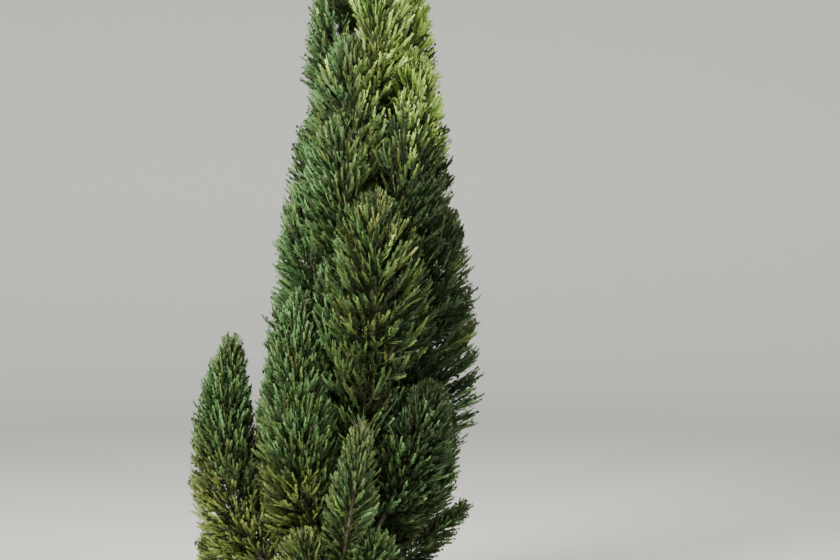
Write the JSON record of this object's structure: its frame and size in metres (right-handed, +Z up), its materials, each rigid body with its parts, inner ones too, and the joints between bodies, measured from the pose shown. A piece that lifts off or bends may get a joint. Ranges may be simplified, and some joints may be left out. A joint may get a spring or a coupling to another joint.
{
  "type": "italian cypress tree",
  "caption": "Narrow upright cypress: one tapering trunk, low boughs that turn up into side spires, and upswept masses of fine scaly foliage round the trunk.",
  "frame": {"origin": "centre of the trunk's flat cut at ground level", "axes": "+Z up the trunk, -Y towards the viewer of the picture, +X to that viewer's right"},
  "size_m": [1.3287, 1.0826, 4.1881],
  "materials": {
    "bark": "rough, ridged bark",
    "foliage": "matt scaly foliage"
  },
  "bodies": {
    "root": {"bough_back": "bark", "bough_back_left": "bark", "bough_back_right": "bark", "bough_front": "bark", "bough_left": "bark", "bough_left_inner": "bark", "bough_right": "bark", "bough_right_low": "bark", "bough_right_lowest": "bark", "foliage_back": "foliage", "foliage_back_left": "foliage", "foliage_back_right": "foliage", "foliage_front": "foliage", "foliage_left": "foliage", "foliage_left_inner": "foliage", "foliage_right": "foliage", "foliage_right_low": "foliage", "foliage_right_lowest": "foliage", "foliage_skirt_1": "foliage", "foliage_skirt_2": "foliage", "foliage_skirt_3": "foliage", "foliage_skirt_4": "foliage", "foliage_skirt_5": "foliage", "foliage_tier_1_1": "foliage", "foliage_tier_1_2": "foliage", "foliage_tier_1_3": "foliage", "foliage_tier_1_4": "foliage", "foliage_tier_1_5": "foliage", "foliage_tier_2_1": "foliage", "foliage_tier_2_2": "foliage", "foliage_tier_2_3": "foliage", "foliage_tier_2_4": "foliage", "foliage_tier_2_5": "foliage", "foliage_tier_3_1": "foliage", "foliage_tier_3_2": "foliage", "foliage_tier_3_3": "foliage", "foliage_tier_3_4": "foliage", "foliage_tier_3_5": "foliage", "foliage_tier_4_1": "foliage", "foliage_tier_4_2": "foliage", "foliage_tier_4_3": "foliage", "foliage_tier_4_4": "foliage", "foliage_tier_4_5": "foliage", "foliage_tier_5_1": "foliage", "foliage_tier_5_2": "foliage", "foliage_tier_5_3": "foliage", "foliage_tier_5_4": "foliage", "foliage_tier_6_1": "foliage", "foliage_tier_6_2": "foliage", "foliage_tier_6_3": "foliage", "foliage_tier_6_4": "foliage", "foliage_tier_7_1": "foliage", "foliage_tier_7_2": "foliage", "foliage_tier_7_3": "foliage", "foliage_tier_7_4": "foliage", "foliage_tier_8_1": "foliage", "foliage_tier_8_2": "foliage", "foliage_tier_8_3": "foliage", "foliage_top": "foliage", "trunk": "bark"}
  },
  "joints": []
}
